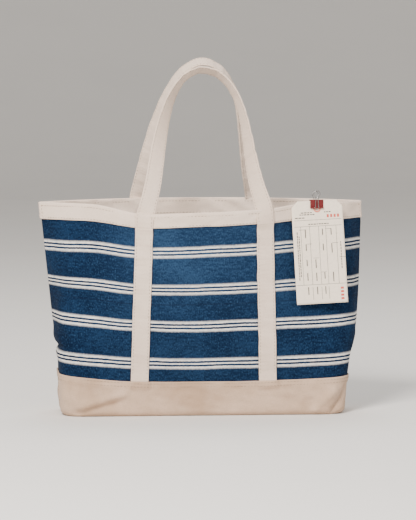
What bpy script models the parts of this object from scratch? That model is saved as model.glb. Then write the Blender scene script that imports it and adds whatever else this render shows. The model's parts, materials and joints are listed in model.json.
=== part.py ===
"""A canvas and striped-cloth tote bag, standing open, with a paper tag held on its rim by a binder clip.

Metres, +Z up, the front towards -Y, the bag standing on Z = 0 with its middle over the origin.
"""

import math

import bmesh
import bpy
import numpy as np

# Overall sizes
TOP_WIDTH = 0.470          # between the side seams at the rim
RIM_HEIGHT = 0.305         # floor to rim at the side seams
MOUTH_DEPTH = 0.178        # the mouth as it stands open, front to back, on the cloth's mid line
BASE_LENGTH = 0.416        # cloth mid line at the base seam
BASE_DEPTH = 0.120
BASE_CORNER = 0.030        # rounding of the boxed corners
BASE_TAPER = 0.020         # share by which the foot is narrower than the base seam
BASE_HEIGHT = 0.052        # canvas base, floor to seam
BASE_FOLD = 0.008          # rounding between the base's walls and its floor
BAND_HEIGHT = 0.0225       # canvas band folded over the rim
RIM_SAG = 0.008            # how far the front rim drops between the side quarters
RIM_CURVE = 2.2            # fullness of the mouth's curve, 2 being a parabola
SIDE_FULL = 0.0125         # how far the right side stands out, at most
SIDE_FULL_AT = 0.125       # height of its fullest point
SIDE_FULL_ABOVE = 0.140    # and how far up and down from there it dies away
SIDE_FULL_BELOW = 0.055

# Cloth
CLOTH = 0.0009             # striped cloth
CANVAS = 0.0012            # base and band
STRAP = 0.0024             # doubled canvas strap
GAP = 0.0004               # air left between pieces that are sewn or pressed together
BASE_LAP = 0.012           # striped cloth running down inside the canvas base
BAND_LAP = 0.018           # striped cloth running up inside the band
END_GAP = 0.0005           # between a strap's end and the edge that it meets

# Straps and handles
STRAP_WIDTH = 0.0254
STRAP_SPREAD_LOW = 0.184   # between a pair's centres at the base seam
STRAP_SPREAD_TOP = 0.170   # between a pair's centres at the rim
STRAP_STEP = 0.012         # length over which a strap climbs onto the band's level
HANDLE_RISE = 0.1975       # rim to the front loop's top, along +Z
HANDLE_OVER = 0.0023892    # clearance of the back loop over the front one, beyond the strap's lean
HANDLE_APEX_Y = 0.0020     # each loop's top stays this far on its own side
# Each loop's left and right leg: the share of its spread lost as it rises, the share of the rise over
# which it closes in, and how square its top is.
FRONT_LOOP = ((0.28, 0.27, 3.4), (0.29, 0.30, 4.0))
BACK_LOOP = ((0.70, 1.30, 4.2), (0.38, 0.55, 4.0))
LOOP_SHIFT = 0.0030        # the loops' tops lie this far right of the middle
FRONT_TWIST = (1.7, 0.7)   # how late the left and the right leg turn from flat to upright
BACK_TWIST = (0.8, 0.8)
HINGE_CLEAR = 0.0006       # fold line in front of the strap's outer face
HANDLE_RUN_OUT = 0.008     # a loop's ends run this far below the rim before they are cut level

# Clip
CLIP_X = 0.162             # place along the rim
CLIP_WIDTH = 0.019
CLIP_SHEET = 0.00045
CLIP_ABOVE = 0.0040        # spine above the rim
CLIP_BITE = 0.0075         # jaws below the rim
CLIP_SPINE = 0.0084        # spine's depth
CLIP_SLACK = 0.0008        # for the rim's curve between the jaws
CLIP_LEAN = math.radians(-5.0)  # the tag's foot stands this far off the wall
# The clip turns the gripped rim to the front. For each unit of the rim's own slope there, it draws the rim
# out this far beyond the clip, and the tag's inner edge presses it in this far.
CLIP_PULL = 0.0236566
CLIP_PUSH = 0.0172875
CURL = 0.00100             # mid-line radius of the rolled lips
CURL_NOTCH = 0.0070        # width between the two rolled lips of one jaw
WIRE = 0.00038             # radius of the lever's wire
LEVER_LENGTH = 0.0245
LEVER_LOOP = 0.0047        # radius of the lever's end
LEVER_NECK = 0.0016        # half the gap at its neck
LEVER_SPREAD = 0.0022      # half the gap at its feet

# Tag
TAG_WIDTH = 0.0745
TAG_LENGTH = 0.1475
TAG_CARD = 0.0004
TAG_CUT = 0.0090           # clipped corners
TAG_TURN = math.radians(2.5)
TAG_HOLE = 0.0034          # radius
TAG_HOLE_DOWN = 0.0110     # below the tag's top edge
RING_OUTER = 0.0056
RING_PAPER = 0.00025
RING_GAP = 0.0001
TAG_ABOVE = 0.0024         # tag's top edge above the rim

WALL_TOP = RIM_HEIGHT - CLOTH / 2 - GAP - CANVAS       # the fold's crown reaches RIM_HEIGHT
SKIN = CLOTH / 2 + GAP                                 # inner face of what lies on the cloth
CANVAS_MID = SKIN + CANVAS / 2
CANVAS_OUT = SKIN + CANVAS
STRAP_MID = SKIN + STRAP / 2
OVER_BAND_MID = CANVAS_OUT + GAP + STRAP / 2
BAND_ROWS = np.linspace(WALL_TOP - BAND_HEIGHT, WALL_TOP - BAND_HEIGHT + BAND_LAP, 4)


def material(name, colour, roughness, metallic=0.0):
    made = bpy.data.materials.new(name)
    made.use_nodes = True
    shader = made.node_tree.nodes["Principled BSDF"]
    shader.inputs["Base Color"].default_value = (*colour, 1.0)
    shader.inputs["Roughness"].default_value = roughness
    shader.inputs["Metallic"].default_value = metallic
    return made


def smooth(x):
    x = np.clip(x, 0.0, 1.0)
    return x * x * (3.0 - 2.0 * x)


def by_length(points, share):
    """Points at shares of a polyline's length; shares outside 0 to 1 run straight on from its ends."""
    steps = np.linalg.norm(np.diff(points, axis=0), axis=1)
    run = np.concatenate([[0.0], np.cumsum(steps)])
    at = np.asarray(share, float) * run[-1]
    out = np.stack([np.interp(at, run, points[:, k]) for k in range(points.shape[1])], axis=-1)
    before = np.minimum(at, 0.0)[..., None] * (points[1] - points[0]) / steps[0]
    after = np.maximum(at - run[-1], 0.0)[..., None] * (points[-1] - points[-2]) / steps[-1]
    return out + before + after


def base_half():
    """Front half of the base's outline, from the left seam to the right one."""
    half, deep = BASE_LENGTH / 2, BASE_DEPTH / 2
    turn = np.linspace(0.0, math.pi / 2, 17)
    left_x = -half + BASE_CORNER * (1 - np.cos(turn))
    left_y = -deep + BASE_CORNER * (1 - np.sin(turn))
    left = np.stack([left_x, left_y], axis=-1)
    right = left[::-1] * (-1, 1)
    return np.concatenate([[(-half, 0.0)], left, right, [(half, 0.0)]])


def rim_half():
    """Front half of the mouth's outline: a lens that closes at the side seams."""
    deep = MOUTH_DEPTH / 2
    slope = math.atan(deep * RIM_CURVE / (TOP_WIDTH / 2))
    half = TOP_WIDTH / 2 - CANVAS_OUT / math.sin(slope)
    x = half * np.sin(np.linspace(-math.pi / 2, math.pi / 2, 241))
    return np.stack([x, -deep * (1 - (np.abs(x) / half) ** RIM_CURVE)], axis=-1)


def rim_slope(x):
    """The mouth's outline there: how much it turns away from the front for each metre along X."""
    half, deep = RIM_OUTLINE[-1, 0], MOUTH_DEPTH / 2
    return deep * RIM_CURVE * (x / half) ** (RIM_CURVE - 1) / half


BASE_OUTLINE = base_half()
RIM_OUTLINE = rim_half()
CLIP_SLOPE = rim_slope(CLIP_X)
HALF_ROUND = float(np.linalg.norm(np.diff(RIM_OUTLINE, axis=0), axis=1).sum())


def mid_surface(u, h, front):
    """A point of the wall's cloth: u from -1 at the left seam to 1 at the right one, h its height."""
    u, h = np.broadcast_arrays(np.asarray(u, float), np.asarray(h, float))
    t = (h - BASE_HEIGHT) / (WALL_TOP - BASE_HEIGHT)
    share = np.clip(t, 0.0, None) ** 1.15
    low = by_length(BASE_OUTLINE, (u + 1) / 2)
    high = by_length(RIM_OUTLINE, (u + 1) / 2)
    low = low * (1 - BASE_TAPER * np.clip(1 - h / BASE_HEIGHT, 0, 1) ** 1.5)[..., None]
    flat = low * (1 - share)[..., None] + high * share[..., None]
    x, y = flat[..., 0], flat[..., 1]
    z = h.copy()
    if front:
        z = z - RIM_SAG * smooth((0.165 - np.abs(high[..., 0])) / 0.085) * smooth((t - 0.2) / 0.75)
        # The clip holds the rim flat, which pulls it out on one side of the tag and in on the other.
        pull = CLIP_PULL * np.exp(-(((x - CLIP_X - 0.030) / 0.032) ** 2))
        pull = pull - CLIP_PUSH * np.exp(-(((x - CLIP_X + 0.034) / 0.024) ** 2))
        y = y - CLIP_SLOPE * pull * smooth((t - 0.35) / 0.6) * smooth((TOP_WIDTH / 2 - 0.004 - x) / 0.022)
    else:
        y = -y
    # The right side stands fuller than the left between the base and the rim.
    reach = np.where(h > SIDE_FULL_AT, SIDE_FULL_ABOVE, SIDE_FULL_BELOW)
    full = np.exp(-(((h - SIDE_FULL_AT) / reach) ** 2)) * smooth((1 - t) / 0.12)
    x = x + SIDE_FULL * full * smooth((u - 0.45) / 0.5)
    return np.stack([x, y, z], axis=-1)


def wall(u, h, out, front):
    """The same point moved out along the wall's normal."""
    u, h, out = np.broadcast_arrays(np.asarray(u, float), np.asarray(h, float), np.asarray(out, float))
    step = 1e-4
    along = mid_surface(u + step, h, front) - mid_surface(u - step, h, front)
    up = mid_surface(u, h + step, front) - mid_surface(u, h - step, front)
    normal = np.cross(along, up) if front else np.cross(up, along)
    normal /= np.linalg.norm(normal, axis=-1)[..., None]
    return mid_surface(u, h, front) + normal * out[..., None], normal


def u_at(x, h, front):
    """The u at which the wall passes x at height h."""
    u = np.linspace(-0.85, 0.85, 681)
    return np.interp(x, mid_surface(u, h, front)[:, 0], u)


def shares(ends, count, corners=True):
    """u values, closer together round the boxed corners."""
    even = np.linspace(-1.0, 1.0, count)
    if corners:
        even = even - 0.055 * np.sin(2 * math.pi * np.abs(even)) * np.sign(even) * -1
    even[0], even[-1] = -1.0 - ends, 1.0 + ends
    return even


def place(obj, mat, parent=None):
    obj.data.materials.append(mat)
    bpy.context.scene.collection.objects.link(obj)
    if parent:
        obj.parent = parent
    return obj


def grid_mesh(name, points, closed=False):
    """A surface through rows of points; closed joins each row's ends."""
    rows, cols = points.shape[:2]
    mesh = bpy.data.meshes.new(name)
    bm = bmesh.new()
    verts = [[bm.verts.new(points[i, j]) for j in range(cols)] for i in range(rows)]
    for i in range(rows - 1):
        for j in range(cols if closed else cols - 1):
            k = (j + 1) % cols
            bm.faces.new((verts[i][j], verts[i][k], verts[i + 1][k], verts[i + 1][j]))
    return mesh, bm, verts


def thick_sheet(name, points, thickness, mat, parent, closed=False, cap=False):
    """The surface as cloth: Solidify gives it its thickness, half on each side."""
    mesh, bm, verts = grid_mesh(name, points, closed)
    if cap:
        bm.faces.new(verts[-1])
    bmesh.ops.recalc_face_normals(bm, faces=bm.faces)
    bm.to_mesh(mesh)
    bm.free()
    obj = place(bpy.data.objects.new(name, mesh), mat, parent)
    shell = obj.modifiers.new("thickness", "SOLIDIFY")
    shell.thickness = thickness
    shell.offset = 0.0
    shell.use_even_offset = True
    return obj


def cut(obj, cutter):
    made = obj.modifiers.new("cut", "BOOLEAN")
    made.operation = "DIFFERENCE"
    made.solver = "EXACT"
    made.object = cutter


def box_cutter(name, low, high, parent=None):
    low, high = np.array(low, float), np.array(high, float)
    mesh = bpy.data.meshes.new(name)
    bm = bmesh.new()
    bmesh.ops.create_cube(bm, size=1.0)
    for v in bm.verts:
        v.co = (low + high) / 2 + np.array(v.co) * (high - low)
    bm.to_mesh(mesh)
    bm.free()
    obj = bpy.data.objects.new(name, mesh)
    obj.hide_render = True
    obj.display_type = "WIRE"
    obj.parent = parent
    bpy.context.scene.collection.objects.link(obj)
    return obj


def empty(name, location=(0, 0, 0), parent=None, turn=0.0, lean=0.0):
    made = bpy.data.objects.new(name, None)
    made.location = location
    made.rotation_euler = (lean, 0.0, turn)
    made.parent = parent
    bpy.context.scene.collection.objects.link(made)
    return made


def panel(name, front, mat, parent, behind):
    u = shares(0.012, 45)
    in_base = np.linspace(BASE_HEIGHT - BASE_LAP, BASE_HEIGHT, 3)
    between = np.linspace(BASE_HEIGHT, WALL_TOP - BAND_HEIGHT, 17)
    h = np.concatenate([in_base, between[1:], BAND_ROWS[1:]])
    points, _ = wall(u[None, :], h[:, None], 0.0, front)
    cut(thick_sheet(name, points, CLOTH, mat, parent), behind)


def band(name, front, mat, parent, behind):
    """Canvas folded over the rim, outside and inside, with the striped cloth's edge between."""
    u = shares(0.012, 45)
    turn = np.linspace(0.0, math.pi, 7)
    outside = [(CANVAS_MID, h) for h in BAND_ROWS]
    crown = [(CANVAS_MID * math.cos(a), WALL_TOP + CANVAS_MID * math.sin(a)) for a in turn]
    inside = [(-CANVAS_MID, h) for _, h in outside[::-1]]
    path = np.array(outside + crown + inside)
    rows = []
    for out, h in path:
        above = max(h - WALL_TOP, 0.0)
        points, _ = wall(u, min(h, WALL_TOP), out, front)
        rows.append(points + (0.0, 0.0, above))
    cut(thick_sheet(name, np.array(rows), CANVAS, mat, parent), behind)


def base(name, mat, parent):
    """Canvas base: walls all round, a rounded fold and a floor, in one piece."""
    u = shares(0.0, 45)
    rows = []

    def ring(h, inset, z):
        halves = []
        for front in (True, False):
            points, normal = wall(u, h, CANVAS_MID, front)
            points = points - normal * inset
            points[:, 2] = z
            halves.append(points if front else points[::-1])
        return np.concatenate([halves[0][:-1], halves[1][:-1]])

    for h in np.linspace(BASE_HEIGHT, BASE_FOLD + CANVAS / 2, 5):
        rows.append(ring(h, 0.0, h))
    for a in np.linspace(0.0, math.pi / 2, 5)[1:]:
        z = CANVAS / 2 + BASE_FOLD * (1 - math.sin(a))
        rows.append(ring(z, BASE_FOLD * (1 - math.cos(a)), z))
    rows.append(ring(0.0, BASE_FOLD + 0.012, CANVAS / 2))
    thick_sheet(name, np.array(rows), CANVAS, mat, parent, closed=True, cap=True)


def strap_x(h):
    share = (h - BASE_HEIGHT) / (WALL_TOP - BASE_HEIGHT)
    return (STRAP_SPREAD_LOW + (STRAP_SPREAD_TOP - STRAP_SPREAD_LOW) * share) / 2


def strap_on_wall(name, side, front, low, high, rows, out_at, mat, parent):
    """A strap sewn flat on the wall between two heights."""
    across = np.linspace(-0.5, 0.5, 5) * STRAP_WIDTH
    points = []
    for h in np.linspace(low, high, rows):
        middle = u_at(side * strap_x(h), h, front)
        points.append(wall(middle + across / (HALF_ROUND / 2), h, out_at(h), front)[0])
    thick_sheet(name, np.array(points), STRAP, mat, parent)


def rim_point(side, front, out):
    """Where a strap's middle passes the rim's crown."""
    u = u_at(side * strap_x(WALL_TOP), WALL_TOP, front)
    point, normal = wall(u, WALL_TOP, out, front)
    return np.array(point) + (0.0, 0.0, CANVAS_MID + CANVAS / 2), np.array(normal)


def handle_frame(front):
    """The loop's foot height, foot depth and fold line."""
    foot, normal = rim_point(1, front, OVER_BAND_MID)
    yaw = math.atan2(abs(normal[0]), abs(normal[1]))
    face = abs(foot[1]) + STRAP_WIDTH / 2 * math.sin(yaw) + STRAP / 2 + HINGE_CLEAR
    return foot, yaw, face


def handle(name, front, mat, parent):
    """One strap in a leaning loop, flat on the wall at its feet and upright over its top."""
    foot, yaw, _ = handle_frame(front)
    sign = -1.0 if front else 1.0
    start = foot[2] + 3 * END_GAP
    # The back loop lies over the front one, whose strap leans and so stands as high as its width allows.
    lean = math.atan2(abs(foot[1]) - HANDLE_APEX_Y, HANDLE_RISE)
    over = HANDLE_OVER + STRAP_WIDTH * math.sin(lean)
    rise = HANDLE_RISE - 3 * END_GAP if front else HANDLE_RISE + over - RIM_SAG - 3 * END_GAP
    sweep = np.linspace(-1.0, 1.0, 801)
    share = np.sin(math.pi / 2 * (1 - np.abs(sweep)))
    left, right = FRONT_LOOP if front else BACK_LOOP
    pinch, pinch_at, shoulder = (np.where(sweep < 0, a, b) for a, b in zip(left, right))
    closing = 1 - pinch * (1 - np.exp(-share / pinch_at))
    spread = foot[0] * closing * np.sqrt(np.clip(1 - share**shoulder, 0, None))
    middle = LOOP_SHIFT * smooth((share - 0.3) / 0.7)
    y_foot, y_top = sign * abs(foot[1]), sign * HANDLE_APEX_Y
    x = middle + np.sign(sweep) * spread
    line = np.stack([x, y_foot + (y_top - y_foot) * share, start + rise * share], axis=-1)
    count = 77
    length = np.linalg.norm(np.diff(line, axis=0), axis=1).sum()
    run_out = HANDLE_RUN_OUT / length
    centre = by_length(line, np.linspace(-run_out, 1.0 + run_out, count))
    tangent = np.gradient(centre, axis=0)
    tangent /= np.linalg.norm(tangent, axis=1)[:, None]
    up = np.array([0.0, y_top - y_foot, rise])
    up /= np.linalg.norm(up)
    facing = np.cross(up, (-sign, 0.0, 0.0))
    height = np.clip((centre[:, 2] - start) / rise, 0.0, 1.0)
    late = np.where(centre[:, 0] < 0, *(FRONT_TWIST if front else BACK_TWIST))
    twist = yaw + (math.pi / 2 - yaw) * height**late
    outward = np.cross(tangent, (0.0, 1.0, 0.0))
    outward -= (outward @ facing)[:, None] * facing
    outward /= np.linalg.norm(outward, axis=1)[:, None]
    inside = (0, centre[count // 2, 1] * 0.5, start + rise * 0.35)
    outward *= np.sign((outward * (centre - inside)).sum(axis=1))[:, None]
    face = np.cos(twist)[:, None] * facing + np.sin(twist)[:, None] * outward
    across = np.cross(tangent, face)
    across /= np.linalg.norm(across, axis=1)[:, None]
    for k in range(1, count):
        if across[k] @ across[k - 1] < 0:
            across[k] = -across[k]
    width = np.linspace(-0.5, 0.5, 5) * STRAP_WIDTH
    points = centre[:, None, :] + across[:, None, :] * width[None, :, None]
    loop = thick_sheet(name, points, STRAP, mat, parent)
    level = foot[2] + 2 * END_GAP
    cut(loop, box_cutter(f"under_{name}", (-0.2, -0.2, level - 0.1), (0.2, 0.2, level), parent))


def clip_body(mat, parent, tag_side):
    """Spring steel bent to a spine and two jaws, whose lips are rolled outwards round the levers' wires."""
    profile = []
    half = CLIP_SPINE / 2
    bend = 0.0009
    front_jaw, back_jaw = tag_side, CANVAS_OUT + GAP + CLIP_SLACK + CLIP_SHEET / 2
    middle = (back_jaw + front_jaw) / 2
    for sign, jaw in ((-1, front_jaw), (1, back_jaw)):
        side = []
        centre = (jaw + sign * CURL, -CLIP_BITE)
        for a in np.linspace(math.radians(285), 0.0, 12):
            side.append((centre[0] - sign * CURL * math.cos(a), centre[1] - CURL * math.sin(a)))
        side.append((jaw, -CLIP_BITE + 0.0012))
        for a in np.linspace(0.0, math.pi / 2, 5):
            across = half - bend + bend * math.cos(a)
            side.append((middle + sign * across, CLIP_ABOVE - bend + bend * math.sin(a)))
        profile += side if sign < 0 else side[::-1]
    x = np.linspace(-CLIP_WIDTH / 2, CLIP_WIDTH / 2, 3)
    points = np.array([[(px, y, z) for px in x] for y, z in profile])
    body = thick_sheet("clip_body", points, CLIP_SHEET, mat, parent)
    for sign, jaw, name in ((-1, front_jaw, "front_notch"), (1, back_jaw, "back_notch")):
        y = sorted((jaw + sign * (CLIP_SHEET / 2 + 0.0001), jaw + sign * 3 * CURL))
        low = (-CURL_NOTCH / 2, y[0], -CLIP_BITE - 2 * CURL)
        high = (CURL_NOTCH / 2, y[1], -CLIP_BITE + 2 * CURL)
        cut(body, box_cutter(name, low, high, parent))
    return front_jaw - CURL, back_jaw + CURL


def lever(name, mat, parent, sign):
    """One wire bent to a loop, a neck and two feet that turn in the rolled lips."""
    lean = math.radians(5.0)
    foot_out = CLIP_WIDTH / 2 - 0.0006
    arm = LEVER_LENGTH - LEVER_LOOP
    side = [(foot_out, 0.0), (foot_out * 0.72, 0.0), (LEVER_SPREAD + 0.0012, 0.0)]
    side += [(LEVER_SPREAD + 0.0003, 0.0004), (LEVER_SPREAD, 0.0016), (LEVER_SPREAD, 0.0035)]
    side += [(LEVER_NECK + 0.0002, arm * 0.42), (LEVER_NECK, arm * 0.58), (LEVER_NECK + 0.0009, arm * 0.76)]
    side += [(LEVER_LOOP * math.cos(a), arm + LEVER_LOOP * math.sin(a)) for a in np.radians([-28, 0, 30, 60])]
    path = [(-x, r) for x, r in side] + [(0.0, LEVER_LENGTH)] + side[::-1]
    curve = bpy.data.curves.new(name, "CURVE")
    curve.dimensions = "3D"
    curve.bevel_depth = WIRE
    curve.bevel_resolution = 2
    curve.use_fill_caps = True
    line = curve.splines.new("POLY")
    line.points.add(len(path) - 1)
    for point, (x, r) in zip(line.points, path):
        point.co = (x, sign * r * math.sin(lean), r * math.cos(lean), 1.0)
    return place(bpy.data.objects.new(name, curve), mat, parent)


def outline_plate(name, outline, hole, thickness, mat, parent):
    """A flat plate with a round hole, from its outline in X and Z, its front at Y = 0."""
    turn = np.linspace(0.0, 2 * math.pi, len(outline), endpoint=False)
    centre, radius = hole
    inner = [(centre[0] + radius * math.cos(a), centre[1] + radius * math.sin(a)) for a in turn]
    points = np.array([[(x, 0.0, z) for x, z in outline], [(x, 0.0, z) for x, z in inner]])
    mesh, bm, _ = grid_mesh(name, points, closed=True)
    bmesh.ops.recalc_face_normals(bm, faces=bm.faces)
    bm.to_mesh(mesh)
    bm.free()
    obj = place(bpy.data.objects.new(name, mesh), mat, parent)
    shell = obj.modifiers.new("thickness", "SOLIDIFY")
    shell.thickness = thickness
    shell.offset = 0.0
    return obj


def tag_outline():
    """The card's edge as seen from its hole, so that it joins to the hole's round by straight spokes."""
    half, top, bottom = TAG_WIDTH / 2, 0.0, -TAG_LENGTH
    right = [(half, bottom), (half, top - TAG_CUT), (half - TAG_CUT, top)]
    corners = right + [(-x, z) for x, z in right[::-1]]
    centre = np.array((0.0, -TAG_HOLE_DOWN))
    edge = []
    for a in np.linspace(0.0, 2 * math.pi, 32, endpoint=False):
        ray = np.array((math.cos(a), math.sin(a)))
        best = None
        for p, q in zip(corners, corners[1:] + corners[:1]):
            p, q = np.array(p), np.array(q)
            side = q - p
            det = ray[0] * -side[1] + side[0] * ray[1]
            if abs(det) < 1e-12:
                continue
            gap = p - centre
            far = (gap[0] * -side[1] + side[0] * gap[1]) / det
            share = (ray[0] * gap[1] - ray[1] * gap[0]) / det
            if far > 0 and -1e-9 <= share <= 1 + 1e-9 and (best is None or far < best):
                best = far
        edge.append((tuple(centre + ray * best), a))
    # The corners themselves replace the nearest rays' ends.
    taken = set()
    for corner in corners:
        a = math.atan2(corner[1] - centre[1], corner[0] - centre[0]) % (2 * math.pi)
        order = sorted(
            range(len(edge)), key=lambda k: abs((edge[k][1] - a + math.pi) % (2 * math.pi) - math.pi)
        )
        nearest = next(k for k in order if k not in taken)
        taken.add(nearest)
        edge[nearest] = (corner, edge[nearest][1])
    return [point for point, _ in edge]


def ring(name, out, mat, parent):
    """A paper washer glued round the tag's hole."""
    turn = np.linspace(0.0, 2 * math.pi, 32, endpoint=False)
    outline = [(RING_OUTER * math.cos(a), -TAG_HOLE_DOWN + RING_OUTER * math.sin(a)) for a in turn]
    made = outline_plate(name, outline, ((0.0, -TAG_HOLE_DOWN), TAG_HOLE), RING_PAPER, mat, parent)
    made.location.y = out


def main():
    for obj in list(bpy.data.objects):
        bpy.data.objects.remove(obj, do_unlink=True)
    bpy.context.scene.unit_settings.system = "METRIC"

    cloth = material("striped_cloth", (0.025, 0.075, 0.150), 0.92)
    cloth_back = material("striped_cloth_back", (0.025, 0.075, 0.150), 0.92)
    canvas = material("natural_canvas", (0.72, 0.63, 0.54), 0.90)
    webbing = material("canvas_strap", (0.73, 0.65, 0.57), 0.90)
    red = material("red_enamel", (0.42, 0.004, 0.012), 0.30)
    wire = material("nickel_wire", (0.62, 0.61, 0.58), 0.25, 1.0)
    card = material("tag_card", (0.85, 0.77, 0.66), 0.80)
    salmon = material("ring_paper", (0.70, 0.20, 0.14), 0.80)

    bag = empty("bag")
    behind_front = box_cutter("behind_front", (-0.4, -GAP / 2, -0.05), (0.4, 0.3, 0.6), bag)
    behind_back = box_cutter("behind_back", (-0.4, -0.3, -0.05), (0.4, GAP / 2, 0.6), bag)

    base("base_panel", canvas, bag)
    panel("front_panel", True, cloth, bag, behind_front)
    panel("back_panel", False, cloth_back, bag, behind_back)
    band("front_top_band", True, canvas, bag, behind_front)
    band("back_top_band", False, canvas, bag, behind_back)

    leg_low, leg_high = BASE_HEIGHT + END_GAP, WALL_TOP - BAND_HEIGHT - END_GAP

    def climbing(h):
        return STRAP_MID + (OVER_BAND_MID - STRAP_MID) * float(smooth((h - leg_high + STRAP_STEP) / STRAP_STEP))

    for front, face in ((True, "front"), (False, "back")):
        for side, hand in ((-1, "left"), (1, "right")):
            strap_on_wall(f"{face}_{hand}_strap", side, front, leg_low, leg_high, 15, climbing, webbing, bag)
            top = f"{face}_{hand}_strap_top"
            low = leg_high + END_GAP
            strap_on_wall(top, side, front, low, WALL_TOP, 4, lambda h: OVER_BAND_MID, webbing, bag)
        _, _, fold = handle_frame(front)
        foot = rim_point(1, front, OVER_BAND_MID)[0]
        pivot = empty(f"{face}_handle_pivot", (0.0, -fold if front else fold, foot[2] + END_GAP), bag)
        back_to_origin = tuple(-v for v in pivot.location)
        handle_parent = empty(f"{face}_handle_origin", back_to_origin, pivot)
        handle(f"{face}_handle", front, webbing, handle_parent)

    # The clip and its tag stand in a frame on the rim, turned with the rim and level.
    u_clip = u_at(CLIP_X, WALL_TOP, True)
    at, normal = wall(u_clip, WALL_TOP, 0.0, True)
    turn = math.atan2(float(normal[0]), -float(normal[1]))
    rim = empty("clip_frame", (float(at[0]), float(at[1]), float(at[2]) + CANVAS_OUT), bag, turn, CLIP_LEAN)
    back_ring = -(CANVAS_OUT + GAP + RING_PAPER / 2)
    card_mid = back_ring - RING_PAPER / 2 - RING_GAP - TAG_CARD / 2
    front_ring = card_mid - TAG_CARD / 2 - RING_GAP - RING_PAPER / 2
    front_jaw = front_ring - RING_PAPER / 2 - GAP - CLIP_SHEET / 2
    pivots = clip_body(red, rim, front_jaw)
    for name, sign, y in (("clip_lever_front", -1, pivots[0]), ("clip_lever_back", 1, pivots[1])):
        pivot = empty(f"{name}_pivot", (0.0, y, -CLIP_BITE), rim)
        lever(name, wire, pivot, sign)
    hang = empty("tag_frame", (0.0, 0.0, TAG_ABOVE), rim)
    hang.rotation_euler.y = -TAG_TURN
    tag = outline_plate("tag_card", tag_outline(), ((0.0, -TAG_HOLE_DOWN), TAG_HOLE), TAG_CARD, card, hang)
    tag.location.y = card_mid
    ring("tag_ring_front", front_ring, salmon, hang)
    ring("tag_ring_back", back_ring, salmon, hang)


main()
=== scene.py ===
"""Looks for the striped tote bag: cloth, canvas, straps, stitching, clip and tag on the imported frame."""

import json
import math

import bmesh
import bpy
import numpy as np
from mathutils import Matrix, Vector


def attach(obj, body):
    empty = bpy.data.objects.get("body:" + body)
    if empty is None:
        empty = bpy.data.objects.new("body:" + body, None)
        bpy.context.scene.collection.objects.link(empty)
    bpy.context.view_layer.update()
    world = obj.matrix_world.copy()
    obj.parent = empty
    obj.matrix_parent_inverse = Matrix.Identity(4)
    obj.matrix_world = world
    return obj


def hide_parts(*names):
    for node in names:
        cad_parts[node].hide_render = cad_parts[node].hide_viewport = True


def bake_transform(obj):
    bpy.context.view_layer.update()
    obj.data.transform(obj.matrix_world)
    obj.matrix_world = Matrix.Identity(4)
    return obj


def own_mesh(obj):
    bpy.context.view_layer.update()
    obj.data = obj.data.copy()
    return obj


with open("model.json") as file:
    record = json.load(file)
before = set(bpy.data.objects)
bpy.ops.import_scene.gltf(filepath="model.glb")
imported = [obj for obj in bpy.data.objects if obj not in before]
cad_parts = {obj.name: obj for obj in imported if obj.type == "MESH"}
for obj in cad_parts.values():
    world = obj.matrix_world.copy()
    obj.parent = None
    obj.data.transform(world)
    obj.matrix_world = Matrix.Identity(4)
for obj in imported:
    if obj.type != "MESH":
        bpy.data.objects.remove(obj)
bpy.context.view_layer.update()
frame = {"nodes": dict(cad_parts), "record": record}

# ---------------------------------------------------------------- sizes, as in the CAD
# HANDLE_OVER, CLIP_PULL and CLIP_PUSH are the lengths that the CAD works out from the strap and the rim.
TOP_WIDTH, RIM_HEIGHT, MOUTH_DEPTH, RIM_CURVE = 0.470, 0.305, 0.178, 2.2
BASE_LENGTH, BASE_DEPTH, BASE_CORNER, BASE_TAPER = 0.416, 0.120, 0.030, 0.020
BASE_HEIGHT, BASE_FOLD, BAND_HEIGHT, RIM_SAG = 0.052, 0.008, 0.0225, 0.008
SIDE_FULL, SIDE_FULL_AT, SIDE_FULL_ABOVE, SIDE_FULL_BELOW = 0.0125, 0.125, 0.140, 0.055
CLOTH, CANVAS, STRAP, GAP = 0.0009, 0.0012, 0.0024, 0.0004
STRAP_WIDTH, SPREAD_LOW, SPREAD_TOP = 0.0254, 0.184, 0.170
HANDLE_RISE, HANDLE_OVER, APEX_Y, LOOP_SHIFT = 0.1975, 0.0120, 0.0020, 0.0030
LOOP = {True: ((0.28, 0.27, 3.4), (0.29, 0.30, 4.0)), False: ((0.70, 1.30, 4.2), (0.38, 0.55, 4.0))}
TWIST = {True: (1.7, 0.7), False: (0.8, 0.8)}
CLIP_X, CLIP_PULL, CLIP_PUSH, CLIP_LEAN = 0.162, 0.0130, 0.0095, math.radians(-5.0)
CLIP_WIDTH, LEVER_LENGTH, LEVER_LOOP = 0.019, 0.0245, 0.0047
LEVER_NECK, LEVER_SPREAD, LEVER_LEAN, WIRE = 0.0016, 0.0022, math.radians(5.0), 0.00055
TAG_WIDTH, TAG_LENGTH, TAG_CARD, TAG_CUT, TAG_TURN = 0.0745, 0.1475, 0.0004, 0.0090, math.radians(2.5)
TAG_HOLE, TAG_HOLE_DOWN, TAG_ABOVE = 0.0034, 0.0110, 0.0024

WALL_TOP = RIM_HEIGHT - CLOTH / 2 - GAP - CANVAS
SKIN = CLOTH / 2 + GAP
CANVAS_MID, CANVAS_OUT = SKIN + CANVAS / 2, SKIN + CANVAS
STRAP_MID, OVER_BAND = SKIN + STRAP / 2, CANVAS_OUT + GAP + STRAP / 2


# ---------------------------------------------------------------- the wall's surface
def smooth(x):
    x = np.clip(x, 0.0, 1.0)
    return x * x * (3.0 - 2.0 * x)


def by_length(points, share):
    steps = np.linalg.norm(np.diff(points, axis=0), axis=1)
    run = np.concatenate([[0.0], np.cumsum(steps)])
    at = np.asarray(share, float) * run[-1]
    out = np.stack([np.interp(at, run, points[:, k]) for k in range(points.shape[1])], axis=-1)
    before = np.minimum(at, 0.0)[..., None] * (points[1] - points[0]) / steps[0]
    after = np.maximum(at - run[-1], 0.0)[..., None] * (points[-1] - points[-2]) / steps[-1]
    return out + before + after


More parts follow.
